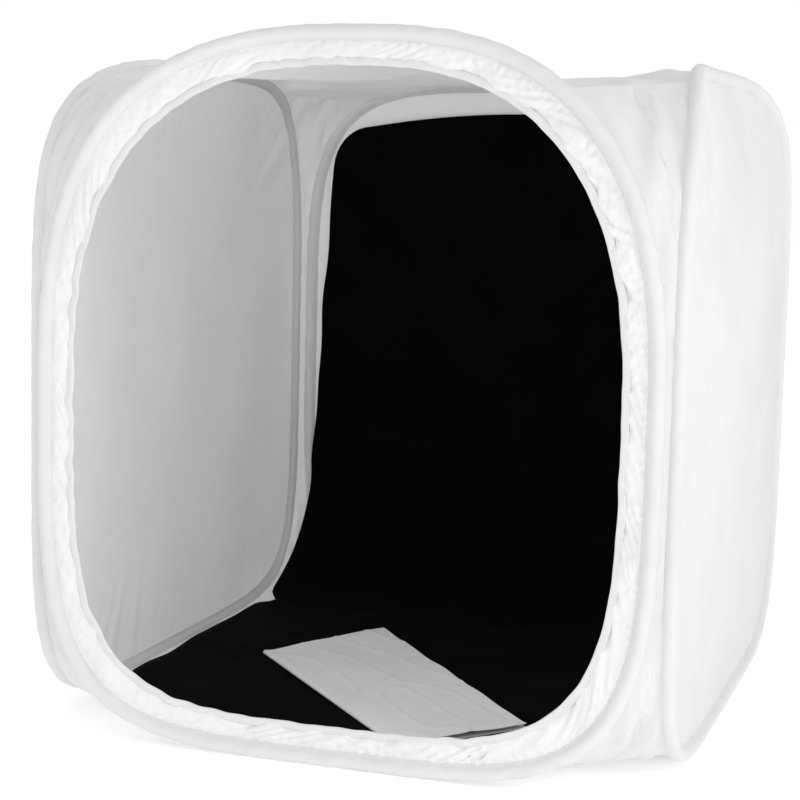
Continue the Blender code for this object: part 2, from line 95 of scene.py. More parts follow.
SWEEP_FRONT_MARGIN = 0.036
SWEEP_TOP_CORNER = 0.044
SWEEP_CROWN = 0.016  # how much higher the middle of its top edge hangs
SWEEP_LEVEL = 0.0066
TAPE_TOP = 0.518
TAPE_HEIGHT = 0.020
TAPE_HALF_WIDTH = 0.190
INSERT_FAR_LEFT = (-0.170, -0.034)
INSERT_FAR_RIGHT = (-0.090, 0.102)
INSERT_NEAR_RIGHT = (0.135, -0.172)
INSERT_NEAR_LEFT = (0.048, -0.272)
INSERT_LIFT = 0.0022  # from the sweep's level to the underside of the cloth lying on it
INSERT_THICKNESS = 0.0030


def quarter(half, rise, power, count=400):
    """Points of a superellipse quarter from (half, 0) to (0, rise), evenly spaced along it."""
    angle = np.linspace(0, math.pi / 2, 4001)
    across = half * np.clip(np.cos(angle), 0, 1) ** (2 / power)
    up = rise * np.clip(np.sin(angle), 0, 1) ** (2 / power)
    across[-1] = 0.0
    along = np.concatenate([[0], np.cumsum(np.hypot(np.diff(across), np.diff(up)))])
    at = np.linspace(0, along[-1], count + 1)
    return np.interp(at, along, across), np.interp(at, along, up)


class Outline:
    """A closed loop of 40 stations: 0 is the +u seam, then the crown, the -u seam and the foot."""

    def __init__(self, half, top, low, powers):
        uu, uv = quarter(half, top - SEAM_HEIGHT, powers[0])
        lu, lv = quarter(half, SEAM_HEIGHT - low, powers[1])
        self.u = np.concatenate([uu, -uu[-2::-1], -lu[1:], lu[-2::-1]])
        self.z = SEAM_HEIGHT + np.concatenate([uv, uv[-2::-1], -lv[1:], -lv[-2::-1]])
        self.station = np.linspace(0, LOOP, len(self.u))

    def at(self, station):
        s = np.mod(station, LOOP)
        return np.interp(s, self.station, self.u), np.interp(s, self.station, self.z)

    def offset(self, station, outwards):
        station = np.asarray(station, float)
        (u0, z0), (u1, z1) = self.at(station - 0.08), self.at(station + 0.08)
        size = np.hypot(u1 - u0, z1 - z0)
        u, z = self.at(station)
        return u + (z1 - z0) / size * outwards, z - (u1 - u0) / size * outwards

    def area(self):
        return abs(np.sum(self.u[:-1] * self.z[1:] - self.u[1:] * self.z[:-1])) / 2

    def length(self):
        return float(np.hypot(np.diff(self.u), np.diff(self.z)).sum())


class Wall:
    """A side of the tent: u runs along it, a points out of the tent, z is up."""

    def __init__(self, name, along, outwards, distance, half, top, powers):
        self.name, self.half, self.top = name, half, top
        self.along, self.outwards = np.array(along, float), np.array(outwards, float)
        self.distance = distance
        self.hoop = Outline(half, top - CASING_RADIUS, CASING_RADIUS, powers)

    def bow(self, u, z):
        climb = np.maximum(0.0, (z - SEAM_HEIGHT) / (self.top - SEAM_HEIGHT))
        return CROWN_BOW * climb**3 * np.maximum(0.0, 1 - (u / self.half) ** 2)

    def place(self, u, a, z):
        out = self.distance + a - self.bow(u, z)
        point = u[..., None] * self.along + out[..., None] * self.outwards
        point[..., 2] += z
        return point

    def centre(self, station):
        u, z = self.hoop.at(station)
        return self.place(u, np.zeros_like(u), z)


FRONT = Wall("front", (1, 0, 0), (0, -1, 0), DEPTH / 2, FRONT_HALF, FRONT_HEIGHT, FRONT_POWERS)
RIGHT = Wall("right", (0, 1, 0), (1, 0, 0), WIDTH / 2, SIDE_HALF, WALL_HEIGHT, WALL_POWERS)
BACK = Wall("back", (-1, 0, 0), (0, 1, 0), DEPTH / 2, FRONT_HALF, WALL_HEIGHT, WALL_POWERS)
LEFT = Wall("left", (0, -1, 0), (-1, 0, 0), WIDTH / 2, SIDE_HALF, WALL_HEIGHT, WALL_POWERS)
RING = (FRONT, RIGHT, BACK, LEFT)
OPENING = Outline(
    FRONT_HALF + CASING_RADIUS - BORDER_WIDTH,
    FRONT_HEIGHT - BORDER_WIDTH,
    BORDER_WIDTH,
    OPENING_POWERS,
)


# ---------- Random fields for wrinkles ----------


def waves(seed, a, b, count, sizes, lean=(0.0, math.pi), period=None):
    """A smooth random field over (a, b) in metres, made of seeded waves of those sizes and leans."""
    rng = np.random.default_rng(seed)
    total = np.zeros(np.broadcast(a, b).shape)
    for _ in range(count):
        size = rng.uniform(*sizes)
        turn = rng.uniform(*lean)
        ka, kb = math.cos(turn) / size, math.sin(turn) / size
        if period:
            ka = round(ka * period) / period
        total += np.sin(2 * math.pi * (ka * a + kb * b) + rng.uniform(0, 2 * math.pi))
    return total / math.sqrt(count / 2)


def creases(field, sharp=0.28):
    """Narrow ridges where a field passes zero."""
    return np.exp(-((field / sharp) ** 2))


def smooth(x, low, high):
    t = np.clip((x - low) / (high - low), 0, 1)
    return t * t * (3 - 2 * t)


# ---------- Mesh helpers ----------


def mesh_object(name, points, faces, look):
    """A smooth mesh in the scene, in one look."""
    mesh = bpy.data.meshes.new(name)
    mesh.from_pydata(np.asarray(points, float).reshape(-1, 3).tolist(), [], faces)
    mesh.validate()
    mesh.shade_smooth()
    mesh.materials.append(look)
    made = bpy.data.objects.new(name, mesh)
    bpy.context.scene.collection.objects.link(made)
    return made


def grid_faces(rows, cols, wrap_rows=False, wrap_cols=False, start=0, flip=False):
    """Quads over a grid of points numbered row by row."""
    i = np.arange(rows if wrap_rows else rows - 1)
    k = np.arange(cols if wrap_cols else cols - 1)
    i, k = np.meshgrid(i, k, indexing="ij")
    j, n = (i + 1) % rows, (k + 1) % cols
    quads = np.stack([i * cols + k, j * cols + k, j * cols + n, i * cols + n], -1) + start
    quads = quads.reshape(-1, 4)
    return (quads[:, ::-1] if flip else quads).tolist()


def normals_of(grid, wrap_rows=False, wrap_cols=False):
    """Unit normals of a grid of points."""

    def slope(axis, wrap):
        if wrap:
            return np.roll(grid, -1, axis) - np.roll(grid, 1, axis)
        return np.gradient(grid, axis=axis)

    n = np.cross(slope(0, wrap_rows), slope(1, wrap_cols))
    size = np.linalg.norm(n, axis=-1, keepdims=True)
    return n / np.maximum(size, 1e-12)


def grid_object(name, grid, look, slot=None, **wraps):
    """A grid of points made into an open sheet, or a tube or ring where it wraps."""
    rows, cols = grid.shape[:2]
    return mesh_object(name, grid, grid_faces(rows, cols, **wraps), look)


def thick_object(name, grid, thickness, look):
    """A grid of points made into a closed sheet, with rounded edges all round."""
    rows, cols = grid.shape[:2]
    n = normals_of(grid) * thickness / 2
    points = np.concatenate([(grid + n).reshape(-1, 3), (grid - n).reshape(-1, 3)])
    count = rows * cols
    faces = grid_faces(rows, cols) + grid_faces(rows, cols, start=count, flip=True)
    rim = list(range(cols))
    rim += [i * cols + cols - 1 for i in range(1, rows)]
    rim += [(rows - 1) * cols + k for k in range(cols - 2, -1, -1)]
    rim += [i * cols for i in range(rows - 2, 0, -1)]
    middle = grid.reshape(-1, 3)
    inwards = middle[rim] - np.mean(middle[rim], axis=0)
    inwards /= np.maximum(np.linalg.norm(inwards, axis=1, keepdims=True), 1e-9)
    edge = middle[rim] + inwards * thickness * 0.35
    points = np.concatenate([points, edge])
    base, size = 2 * count, len(rim)
    for e in range(size):
        f = (e + 1) % size
        faces.append([rim[e], rim[f], base + f, base + e])
        faces.append([base + e, base + f, count + rim[f], count + rim[e]])
    return mesh_object(name, points, faces, look)


# ---------- Materials ----------


class Look:
    """A small builder for a procedural material."""

    def __init__(self, name):
        self.material = bpy.data.materials.new(name)
        self.material.use_nodes = True
        self.nodes = self.material.node_tree.nodes
        self.links = self.material.node_tree.links
        self.shader = self.nodes["Principled BSDF"]
        self.coords = self.nodes.new("ShaderNodeTexCoord")

    def place(self, scale=(1, 1, 1), turn=(0, 0, 0)):
        node = self.nodes.new("ShaderNodeMapping")
        node.inputs["Scale"].default_value = scale
        node.inputs["Rotation"].default_value = turn
        self.links.new(self.coords.outputs["Object"], node.inputs["Vector"])
        return node.outputs["Vector"]

    def noise(self, vector, scale, detail=4.0, rough=0.55, kind="FBM", distort=0.0):
        node = self.nodes.new("ShaderNodeTexNoise")
        node.noise_type = kind
        node.inputs["Scale"].default_value = scale
        node.inputs["Detail"].default_value = detail
        node.inputs["Roughness"].default_value = rough
        node.inputs["Distortion"].default_value = distort
        self.links.new(vector, node.inputs["Vector"])
        return node.outputs["Fac"]

    def wave(self, vector, scale, direction, distort=0.6, detail_scale=2.0):
        node = self.nodes.new("ShaderNodeTexWave")
        node.wave_type = "BANDS"
        node.bands_direction = direction
        node.inputs["Scale"].default_value = scale
        node.inputs["Distortion"].default_value = distort
        node.inputs["Detail"].default_value = 1.0
        node.inputs["Detail Scale"].default_value = detail_scale
        self.links.new(vector, node.inputs["Vector"])
        return node.outputs["Fac"]

    def math(self, kind, one, two):
        node = self.nodes.new("ShaderNodeMath")
        node.operation = kind
        for socket, value in zip(node.inputs, (one, two)):
            if isinstance(value, (int, float)):
                socket.default_value = value
            else:
                self.links.new(value, socket)
        return node.outputs["Value"]

    def ramp(self, value, stops):
        node = self.nodes.new("ShaderNodeValToRGB")
        band = node.color_ramp
        band.elements[0].position, band.elements[-1].position = stops[0][0], stops[-1][0]
        for place, _ in stops[1:-1]:
            band.elements.new(place)
        for element, (place, colour) in zip(band.elements, stops):
            element.position = place
            element.color = (*colour, 1.0)
        self.links.new(value, node.inputs["Fac"])
        return node.outputs["Color"]

    def bump(self, height, distance, strength=1.0, after=None):
        node = self.nodes.new("ShaderNodeBump")
        node.inputs["Distance"].default_value = distance
        node.inputs["Strength"].default_value = strength
        self.links.new(height, node.inputs["Height"])
        if after is not None:
            self.links.new(after, node.inputs["Normal"])
        return node.outputs["Normal"]

    def range(self, value, low, high):
        node = self.nodes.new("ShaderNodeMapRange")
        node.inputs["To Min"].default_value = low
        node.inputs["To Max"].default_value = high
        self.links.new(value, node.inputs["Value"])
        return node.outputs["Result"]

    def let_through(self, colour, normal, share):
        """Mix in the light that comes through the cloth from its other side."""
        glow = self.nodes.new("ShaderNodeBsdfTranslucent")
        mix = self.nodes.new("ShaderNodeMixShader")
        mix.inputs["Fac"].default_value = share
        self.links.new(colour, glow.inputs["Color"])
        self.links.new(normal, glow.inputs["Normal"])
        self.links.new(self.shader.outputs["BSDF"], mix.inputs[1])
        self.links.new(glow.outputs["BSDF"], mix.inputs[2])
        self.links.new(mix.outputs["Shader"], self.nodes["Material Output"].inputs["Surface"])

    def finish(self, colour, rough, normal):
        self.links.new(colour, self.shader.inputs["Base Color"])
        self.links.new(rough, self.shader.inputs["Roughness"])
        self.links.new(normal, self.shader.inputs["Normal"])
        return self.material


# Each plane's turn brings its cloth into the texture's X and Y
PLANES = {
    "front": (math.pi / 2, 0.0, 0.0),
    "side": (0.0, math.pi / 2, 0.0),
    "level": (0.0, 0.0, 0.0),
    "corner": (math.pi / 2, 0.0, math.pi / 4),
}
THREAD = 0.0007  # from one thread of the white cloth to the next


def white_fabric(name, plane, shade, crinkle=0.00035, sheen=0.08, thread=THREAD, through=0.0):
    """Plain-woven white nylon, a little uneven in tone, with fine crinkles."""
    look = Look(name)
    at = look.place(turn=PLANES[plane])
    broad = look.noise(at, 9.0, 3.0)
    fine = look.noise(at, 60.0, 5.0)
    tone = look.math("ADD", look.math("MULTIPLY", broad, 0.7), look.math("MULTIPLY", fine, 0.3))
    dark = tuple(c * 0.955 for c in shade)
    light = tuple(min(1, c * 1.01) for c in shade)
    colour = look.ramp(tone, [(0.30, dark), (0.52, shade), (0.72, light)])
    warp = look.wave(at, math.pi / 10 / thread, "X", 0.5)
    weft = look.wave(at, math.pi / 10 / thread, "Y", 0.5)
    weave = look.math("MAXIMUM", warp, weft)
    folds = look.noise(at, 28.0, 4.0, 0.5, "RIDGED_MULTIFRACTAL", 0.3)
    normal = look.bump(folds, crinkle, 0.6)
    normal = look.bump(weave, 0.00008, 0.5, normal)
    look.shader.inputs["Sheen Weight"].default_value = sheen
    look.shader.inputs["Sheen Roughness"].default_value = 0.5
    look.shader.inputs["Specular IOR Level"].default_value = 0.3
    if through:
        look.let_through(colour, normal, through)
    return look.finish(colour, look.range(fine, 0.66, 0.86), normal)


def black_velvet(name):
    """Dense black pile that gives back almost no light."""
    look = Look(name)
    at = look.place()
    nap = look.noise(at, 900.0, 3.0)
    brushed = look.noise(at, 14.0, 4.0, 0.6, "FBM", 0.8)
    tone = look.math("ADD", look.math("MULTIPLY", nap, 0.45), look.math("MULTIPLY", brushed, 0.55))
    colour = look.ramp(tone, [(0.35, (0.0008, 0.0008, 0.0009)), (0.65, (0.0024, 0.0024, 0.0026))])
    normal = look.bump(nap, 0.0003, 0.5)
    look.shader.inputs["Specular IOR Level"].default_value = 0.04
    look.shader.inputs["Sheen Weight"].default_value = 0.008
    look.shader.inputs["Sheen Roughness"].default_value = 0.35
    return look.finish(colour, look.range(brushed, 0.90, 1.0), normal)


def metal(name, tint, scale):
    """Drawn metal, with a fine grain and a slightly uneven tint."""
    look = Look(name)
    at = look.place()
    grain = look.noise(at, scale, 6.0)
    stain = look.noise(at, 45.0, 4.0)
    colour = look.ramp(stain, [(0.3, tuple(c * 0.8 for c in tint)), (0.7, tint)])
    look.shader.inputs["Metallic"].default_value = 1.0
    return look.finish(colour, look.range(grain, 0.25, 0.5), look.bump(grain, 0.00003, 0.4))


def pile_tape(name, shade, dots):
    """Hook or loop tape: a fine field of small hooks or loops."""
    look = Look(name)
    at = look.place(turn=PLANES["front"])
    node = look.nodes.new("ShaderNodeTexVoronoi")
    node.inputs["Scale"].default_value = dots
    look.links.new(at, node.inputs["Vector"])
    cells = node.outputs["Distance"]
    colour = look.ramp(cells, [(0.0, shade), (0.8, tuple(c * 0.6 for c in shade))])
    return look.finish(colour, look.range(cells, 0.5, 0.85), look.bump(cells, 0.0006, 0.8))


SHADE = (0.90, 0.902, 0.905)
THROUGH = 0.24  # share of the light that the single layer of nylon lets through
FABRIC = {
    plane: white_fabric("white_nylon_" + plane, plane, SHADE, through=THROUGH) for plane in PLANES
}
BORDER = white_fabric("white_nylon_border", "front", SHADE, through=0.08)
BINDING = white_fabric("white_binding_tape", "front", SHADE, 0.0002, 0.05, 0.0011, 0.21)
COTTON = white_fabric("white_cotton", "level", (0.92, 0.92, 0.92), 0.0004, 0.1, 0.0009)
THREAD_LOOK = white_fabric("sewing_thread", "front", (0.86, 0.862, 0.865), 0.0001, 0.1, 0.0003)
VELVET = black_velvet("black_velvet")
HOOK_PILE = pile_tape("hook_tape_face", (0.75, 0.75, 0.76), 900.0)
LOOP_PILE = pile_tape("loop_tape_face", (0.012, 0.012, 0.013), 700.0)
STEEL = metal("blued_spring_steel", (0.42, 0.44, 0.48), 500.0)
ZINC = metal("zinc_plated_steel", (0.62, 0.64, 0.66), 220.0)


# ---------- Hoops' casings ----------


ROUND_POINTS = 17  # round part of a casing's section
PUCKER_SHARE = 0.034  # how much the casing's puckers swell its radius


def casing_section(lean):
    """A folded binding: a round over the band and a flat flange towards the cloth, as (out, across)."""
    round_from = math.radians(24)
    angles = np.linspace(-math.pi + round_from, math.pi - round_from, ROUND_POINTS)
    radius = CASING_RADIUS + 0.0004
    section = [(radius * math.cos(t), radius * math.sin(t)) for t in angles]
    flange = [(-0.0062, 0.0011), (-0.0070, 0.0007), (-0.0078, 0.0005), (-0.0081, 0.0)]
    section += flange
    section += [(p, -q) for p, q in reversed(flange[:-1])]
    return [(p, q - lean * min(0.0, p + CASING_RADIUS)) for p, q in section]


def make_casing(wall, lean):
    """The fabric tube round a hoop's band, with slanting puckers all the way round."""
    count = 480
    stations = np.arange(count) * LOOP / count
    loop = wall.hoop.length()
    along = stations / LOOP * loop
    section = casing_section(lean)
    rows = []
    for index, (p, q) in enumerate(section):
        ring = index / len(section) * 0.04
        pucker = waves(11, along, ring, 16, (0.010, 0.026), (-1.20, -0.60), loop)
        swell = 1 + PUCKER_SHARE * pucker if index < ROUND_POINTS else 1.0
        u, z = wall.hoop.offset(stations, p * swell)
        rows.append(wall.place(u, np.full_like(u, q * swell), z))
    grid = np.stack(rows, axis=1)
    made = grid_object(
        wall.name + "_casing", grid, BINDING, "white_binding", wrap_rows=True, wrap_cols=True
    )
    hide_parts(wall.name + "_hoop_casing")
    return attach(made, wall.name)


# ---------- Stitching ----------

STITCH_PITCH = 0.0036
STITCH_SHARE = 0.62  # how much of the pitch is thread on top of the cloth
THREAD_RADIUS = 0.00028

def stitches(name, path, normal, body="front"):
    """A row of thread stitches laid along a closed path, raised on the side that normal gives."""
    closed = np.concatenate([path, path[:1]])
    steps = np.linalg.norm(np.diff(closed, axis=0), axis=1)
    along = np.concatenate([[0], np.cumsum(steps)])
    count = int(along[-1] / STITCH_PITCH)
    starts = np.arange(count) * along[-1] / count
    facing = np.concatenate([normal, normal[:1]])

    def at(where):
        where = np.clip(where, 0, along[-1])
        return np.stack([np.interp(where, along, closed[:, c]) for c in range(3)], 1)

    up = np.stack([np.interp(starts, along, facing[:, c]) for c in range(3)], 1)
    up /= np.linalg.norm(up, axis=1, keepdims=True)
    length, half = STITCH_PITCH * STITCH_SHARE, THREAD_RADIUS
    rings = []
    profile = ((0.0, 0.35, -0.6), (0.25, 1.0, 0.25), (0.75, 1.0, 0.25), (1.0, 0.35, -0.6))
    for share, size, lift in profile:
        here = at(starts + share * length)
        run = at(starts + length) - at(starts)
        run /= np.maximum(np.linalg.norm(run, axis=1, keepdims=True), 1e-9)
        side = np.cross(run, up)
        middle = here + up * half * lift
        for c, s in ((1, 0), (0, 1), (-1, 0), (0, -1)):
            rings.append(middle + (side * c + up * s * 0.8) * half * size)
    points = np.stack(rings, axis=1)  # count, 16, 3
    one = []
    for r in range(3):
        for k in range(4):
            n = (k + 1) % 4
            one.append([r * 4 + k, r * 4 + n, r * 4 + 4 + n, r * 4 + 4 + k])
    one += [[3, 2, 1, 0], [12, 13, 14, 15]]
    faces = (np.array(one)[None] + np.arange(count)[:, None, None] * 16).reshape(-1, 4)
    made = mesh_object(name, points, faces.tolist(), THREAD_LOOK)
    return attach(made, body)


def loop_row(wall, outline, outwards, across, count=720):
    """The path and the normals of a row of stitches that runs beside a wall's loop."""
    stations = np.arange(count) * LOOP / count
    u, z = outline.offset(stations, outwards)
    path = wall.place(u, np.full_like(u, across), z)
    normal = np.tile(wall.outwards * (1 if across > 0 else -1), (count, 1))
    return path, normal


# ---------- Front border ----------

# Heights of the border's folds: its puff, broad waves, slanting folds, the ones that cross them,
# a crinkle, and the gathers beside the casing
PUFF, BROAD, SLANT, SLANT_WAVE, COUNTER, CRINKLE, GATHER = (
    0.0014, 0.0010, 0.0017, 0.0004, 0.0009, 0.00022, 0.00035,
)
HEM_RIPPLE = 0.00025  # how far the opening's edge strays along the cloth
HEM_FLUTTER = 0.0004  # and across it

def make_border():
    """The front border, wrinkled most on its right side."""
    loops, across = 1080, 26
    stations = np.arange(loops) * LOOP / loops
    period = FRONT.hoop.length()
    along = stations / LOOP * period
    out_u, out_z = FRONT.hoop.offset(stations, -CLOTH_INSET)
    in_u, in_z = OPENING.offset(stations, 0.0006)
    t = np.linspace(0, 1, across)
    u = out_u[:, None] * (1 - t) + in_u[:, None] * t
    z = out_z[:, None] * (1 - t) + in_z[:, None] * t
    a, b = along[:, None], t[None] * BORDER_WIDTH
    rightness = np.cos(2 * math.pi * (stations + 1) / LOOP)[:, None]  # just below the right seam
    amount = 0.55 + 0.45 * smooth(rightness, -0.6, 0.6)
    held = smooth(t, 0.10, 0.36) * (1 - smooth(t, 0.82, 0.97))
    puff = PUFF * smooth(t, 0.08, 0.4) * (1 - smooth(t, 0.6, 0.97))
    soft = waves(21, a, b, 18, (0.035, 0.10), (-0.5, 0.5), period)
    drift = 0.006 * waves(27, a, b, 8, (0.10, 0.30), (-0.4, 0.4), period)
    cross = waves(22, a + drift, b, 8, (0.010, 0.019), (-1.22, -0.88), period)
    back = waves(23, a - drift, b, 6, (0.022, 0.040), (0.70, 0.95), period)
    fine = waves(24, a, b, 26, (0.007, 0.016), (-1.2, 1.2), period)
    gather = waves(25, a, b * 0.3, 24, (0.006, 0.012), (-0.3, 0.3), period)
    where = smooth(waves(26, a, b, 12, (0.06, 0.20), (-0.6, 0.6), period), -0.6, 0.9)
    height = puff + held * amount * (
        BROAD * soft
        + SLANT * creases(cross, 0.50) * where
        + SLANT_WAVE * cross
        - COUNTER * creases(back, 0.45) * (1 - 0.6 * where)
        + CRINKLE * fine
    )
    edge = smooth(t, 0.08, 0.2) * (1 - smooth(t, 0.25, 0.6))
    height = height + GATHER * gather * edge * amount
    grid = FRONT.place(u, height, z)
    made = grid_object("front_border_cloth", grid, BORDER, "white_fabric", wrap_rows=True)
    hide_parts("front_border")
    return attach(made, "front")


def make_binding():
    """The binding folded over the edge of the opening."""
    section = [
        (0.0058, -0.0005), (0.0052, -0.0009), (0.0030, -0.0011), (0.0006, -0.0012),
        (-0.0006, -0.0008), (-0.0009, 0.0), (-0.0006, 0.0008), (0.0006, 0.0012),
        (0.0030, 0.0011), (0.0052, 0.0009), (0.0058, 0.0005), (0.0050, 0.0002),
        (0.0050, -0.0002),
    ]
    count = 720
    period = OPENING.length()
    stations = np.arange(count) * LOOP / count
    along = stations / LOOP * period
    ripple = waves(31, along, 0 * along, 20, (0.02, 0.07), (0.0, 0.3), period)
    pucker = waves(32, along, 0 * along, 20, (0.004, 0.010), (0.0, 0.3), period)
    rows = []
    for p, q in section:
        u, z = OPENING.offset(stations, p + HEM_RIPPLE * ripple)
        rows.append(FRONT.place(u, q * (1 + 0.05 * pucker) + HEM_FLUTTER * ripple, z))
    hem = grid_object(
        "opening_binding", np.stack(rows, 1), BINDING, "white_binding", wrap_rows=True, wrap_cols=True
    )
    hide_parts("opening_hem")
    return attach(hem, "front")


# ---------- Side and back walls ----------

RAY_RADIUS = 0.28  # where folds that run outwards from a panel's middle have their stated width
RAY_PERIOD = 2 * math.pi * RAY_RADIUS

def make_panel(wall, bulge, seed, plane):
    """A taut fabric wall, with soft tension folds that run from its corners."""
    count = 360
    stations = np.arange(count) * LOOP / count
    u0, z0 = wall.hoop.offset(stations, -CLOTH_INSET)
    share = np.concatenate([np.linspace(1.0, 0.80, 18), np.linspace(0.80, 0.03, 27)[1:]])
    loops = len(share)
    u = share[:, None] * u0
    z = SEAM_HEIGHT + share[:, None] * (z0 - SEAM_HEIGHT)
    out = bulge * (1 - share[:, None] ** 2) * np.ones_like(u)
    edge = smooth(share, 0.62, 0.93)[:, None] * (1 - smooth(share, 0.965, 1.0))[:, None]
    around = np.arctan2(z - SEAM_HEIGHT, u)
    corner = np.abs(np.sin(2 * around)) ** 1.5
    arc = around * RAY_RADIUS
    rays = waves(seed, arc, 0 * u, 16, (0.016, 0.05), (0.0, 0.2), RAY_PERIOD)
    broad = waves(seed + 1, u, z, 10, (0.14, 0.34))
    fine = waves(seed + 2, u, z, 30, (0.02, 0.06))
    ripple = waves(seed + 3, arc, 0 * u, 26, (0.005, 0.012), (0.0, 0.2), RAY_PERIOD)
    near = smooth(share, 0.90, 0.95)[:, None] * (1 - smooth(share, 0.965, 0.99))[:, None]
    height = 0.0011 * broad * (1 - share[:, None] ** 6)
    height = height + edge * (0.0006 * rays * (0.25 + 0.75 * corner) + 0.00012 * fine)
    height = height + 0.0002 * ripple * near
    grid = wall.place(u, out + height, z)
    middle = wall.place(np.zeros(1), np.full(1, bulge), np.full(1, SEAM_HEIGHT))
    points = np.concatenate([grid.reshape(-1, 3), middle])
    faces = grid_faces(loops, count, wrap_cols=True, flip=True)
    last = (loops - 1) * count
    # A fan closes the innermost loop
    faces += [[last + k, last + (k + 1) % count, loops * count] for k in range(count)]
    made = mesh_object(wall.name + "_wall_cloth", points, faces, FABRIC[plane])
    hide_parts(wall.name + "_wall")
    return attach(made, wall.name)


# ---------- Corners ----------


CORNER_INSET = 0.0030  # from a casing's centre to the edge of the corner's cloth inside it
BLEND_REACH = 0.005  # how far from the diagonal a corner's columns lie closest together


def corner_rows(one, two, climbs):
    """The ends of each line of cloth from one wall's hoop to the next one's, inside the casings."""
    climbs = np.asarray(climbs, float)
    start = one.centre(climbs)
    end = two.centre(2 * QUARTER - climbs)
    way = end - start
    way /= np.linalg.norm(way, axis=1, keepdims=True)
    return start + way * CORNER_INSET, end - way * CORNER_INSET


def corner_grid(one, two, hinge, climbs, cols, core=BLEND_REACH):
    """Rows of points across a corner, densest near its diagonal plane, and the diagonal's column."""
    start, end = corner_rows(one, two, climbs)
    diagonal = (one.along + two.along) / math.sqrt(2)
    first = (start - hinge) @ diagonal
    last = (end - hinge) @ diagonal
    half = cols // 2
    inner = half // 2
    outer = half - inner
    rows = []
    for i in range(len(start)):
        c0, c1 = min(-1e-4, first[i]), max(1e-4, last[i])
        k0, k1 = max(c0 * 0.6, -core), min(c1 * 0.6, core)
        left = np.concatenate([np.linspace(c0, k0, outer + 1)[:-1], np.linspace(k0, 0, inner + 1)])
        right = np.concatenate(
            [np.linspace(0, k1, inner + 1)[1:], np.linspace(k1, c1, outer + 1)[1:]]
        )
        place = np.concatenate([left, right])
        share = (place - first[i]) / (last[i] - first[i])
        share = np.clip(share, 0, 1)
        rows.append(start[i] + share[:, None] * (end[i] - start[i]))
    return np.stack(rows), half


def shares_of(grid):
    """How far across each point is, from 0 at one hoop to 1 at the other, and the span of its row."""
    steps = np.linalg.norm(np.diff(grid, axis=1), axis=2)
    along = np.concatenate([np.zeros((len(grid), 1)), np.cumsum(steps, axis=1)], axis=1)
    return along / along[:, -1:], along[:, -1:]


def puckered(grid, seed, outwards):
    """The same corner cloth with soft upright folds, held at both casings."""
    share, span = shares_of(grid)
    middle = grid[:, grid.shape[1] // 2]
    up = np.concatenate([[0], np.cumsum(np.linalg.norm(np.diff(middle, axis=0), axis=1))])
    a, b = (share - 0.5) * span, up[:, None] * np.ones_like(share)
    held = np.sin(math.pi * share) ** 0.7 * np.minimum(1.0, span / 0.05)
    folds = waves(seed, a, b, 18, (0.018, 0.05), (-0.35, 0.35))
    fine = waves(seed + 1, a, b, 22, (0.008, 0.020), (-0.9, 0.9))
    lift = held * (0.0022 * folds + 0.0009 * creases(fine, 0.3))
    ends = smooth(up, 0.0, 0.02)[:, None] * (1 - smooth(up, up[-1] - 0.015, up[-1]))[:, None]
    n = normals_of(grid)
    n = n * np.where((n @ outwards) > 0, 1, -1)[..., None]
    return grid + n * (lift * ends)[..., None]


CORNERS = {
    # name: the walls that meet and their hinge
    "front_right": (FRONT, RIGHT, (HINGE_X, -HINGE_Y, 0.0)),
    "back_right": (RIGHT, BACK, (HINGE_X, HINGE_Y, 0.0)),
    "back_left": (BACK, LEFT, (-HINGE_X, HINGE_Y, 0.0)),
    "front_left": (LEFT, FRONT, (-HINGE_X, -HINGE_Y, 0.0)),
}
OPENS = ("front_right", "back_left")


def flat_of(grid):
    """(width, length, area) of a corner's cloth, laid flat."""
    _, span = shares_of(grid)
    up = np.linalg.norm(np.diff(grid[:, grid.shape[1] // 2], axis=0), axis=1)
    area = float((up * (span[1:, 0] + span[:-1, 0]) / 2).sum())
    return max(0.0101, float(span.max())), float(up.sum()), area


def declare(width, length, area):
    """Raise a sheet's width and length to at least 0.0101, in local names only; the area is not used.
    """
    width, length = max(width, 0.0101), max(length, 0.0101)


def make_corner(name, seed):
    """Seam tape and gussets of a corner: one sheet at the front-right and back-left corners and for
    every seam tape, and two halves, each on its own wall, at the others.
    """
    one, two, hinge = CORNERS[name]
    hinge = np.array(hinge)
    out = hinge * np.array([1, 1, 0])
    out = out / np.linalg.norm(out)
    cols = 48
    bands = {
        "seam_tape": np.linspace(-SEAM_STATIONS, SEAM_STATIONS, 20),
        "top_gusset": np.linspace(SEAM_STATIONS, GUSSET_TOP_STATIONS, 70),
        "floor_gusset": np.linspace(-GUSSET_LOW_STATIONS, -SEAM_STATIONS, 80),
    }
    for kind, climbs in bands.items():
        grid, middle = corner_grid(one, two, hinge, climbs, cols)
        if kind != "seam_tape":
            seed += 5
            grid = puckered(grid, seed, out)
        node = f"{name}_{kind}"
        slot = "white_tape" if kind == "seam_tape" else "white_diffuser"
        look = FABRIC["corner"]
        if name in OPENS or kind == "seam_tape":
            piece = grid_object(node + "_cloth", grid, look, slot)
            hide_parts(node)
            width, length, area = flat_of(grid)
            if name == "back_right":
                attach(piece, "back")
            else:
                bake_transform(piece)
            declare(width, length, area)
            continue
        halves = ((one, grid[:, : middle + 1]), (two, grid[:, middle:]))
        for wall, part in halves:
            piece = grid_object(f"{node}_{wall.name}_half", part, look, slot)
            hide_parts(node)
            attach(piece, wall.name)
            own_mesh(piece)
            width, length, area = flat_of(part)
            declare(width, length, area)


# ---------- Top and floor ----------


